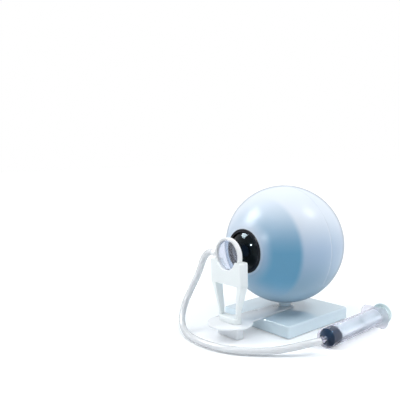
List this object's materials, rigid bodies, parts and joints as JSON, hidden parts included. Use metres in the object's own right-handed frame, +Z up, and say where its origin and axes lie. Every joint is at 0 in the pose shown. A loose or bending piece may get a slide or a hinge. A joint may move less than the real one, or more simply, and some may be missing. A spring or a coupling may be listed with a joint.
{
  "type": "eye model with adjustable water lens",
  "caption": "Hollow two-part eyeball with iris and cornea on a stem and block, before it a fork with a water-filled lens that a syringe fills through a tube.",
  "frame": {"origin": "on the table, under the centre of the ball, in the plane of the block's underside", "axes": "+Z up along the stem, -Y the way the eye looks, +X to the right as seen from the front, towards the syringe"},
  "size_m": [0.127, 0.1466, 0.1155],
  "materials": {
    "base_plastic": "glossy moulded",
    "holder_plastic": "satin moulded",
    "lens_rim_plastic": "glossy moulded",
    "membrane_clear": "clear soft film",
    "water": "clear liquid",
    "tube_clear": "clear soft tube",
    "barrel_clear": "clear moulded",
    "plunger_plastic": "satin moulded",
    "seal_rubber": "matt",
    "shell_frosted": "glossy outside, milky through the wall",
    "iris_black": "glossy",
    "cornea_clear": "clear, polished",
    "plate_plastic": "satin moulded",
    "eye_lens_clear": "clear, polished",
    "screw_steel": "plated"
  },
  "bodies": {
    "root": {"base_block": "base_plastic", "arm": "base_plastic", "lens_holder": "holder_plastic", "syringe_barrel": "barrel_clear", "tube": "tube_clear"},
    "eyeball": {"front_cap": "shell_frosted", "front_band": "shell_frosted", "stem": "base_plastic", "stem_screw": "screw_steel", "iris_bezel": "iris_black", "iris_disc": "iris_black", "cornea": "cornea_clear", "lens_plate": "plate_plastic", "eye_lens": "eye_lens_clear", "lens_retainer": "plate_plastic"},
    "rear_half": {"rear_shell": "shell_frosted"},
    "plunger": {"plunger_rod": "plunger_plastic", "piston_seal": "seal_rubber"},
    "water_lens": {"lens_body_ring": "lens_rim_plastic", "front_clamp_ring": "lens_rim_plastic", "rear_clamp_ring": "lens_rim_plastic", "front_membrane": "membrane_clear", "rear_membrane": "membrane_clear", "lens_water": "water"}
  },
  "joints": [
    {"name": "eyeball_swivel", "type": "hinge", "parent": "root", "child": "eyeball", "pos_m": [0, 0, 0.019], "axis": [0, 0, 1], "continuous": true},
    {"name": "rear_half_pull", "type": "slide", "parent": "eyeball", "child": "rear_half", "axis": [0, 1, 0], "range_m": [0, 0.008]},
    {"name": "plunger_slide", "type": "slide", "parent": "root", "child": "plunger", "axis": [-0.0523, 0.9986, 0], "range_m": [0, 0.045], "deforming": ["front_membrane", "rear_membrane", "lens_water"]},
    {"name": "lens_lift", "type": "slide", "parent": "root", "child": "water_lens", "axis": [0, 0, 1], "range_m": [0, 0.035], "deforming": ["tube"]}
  ]
}
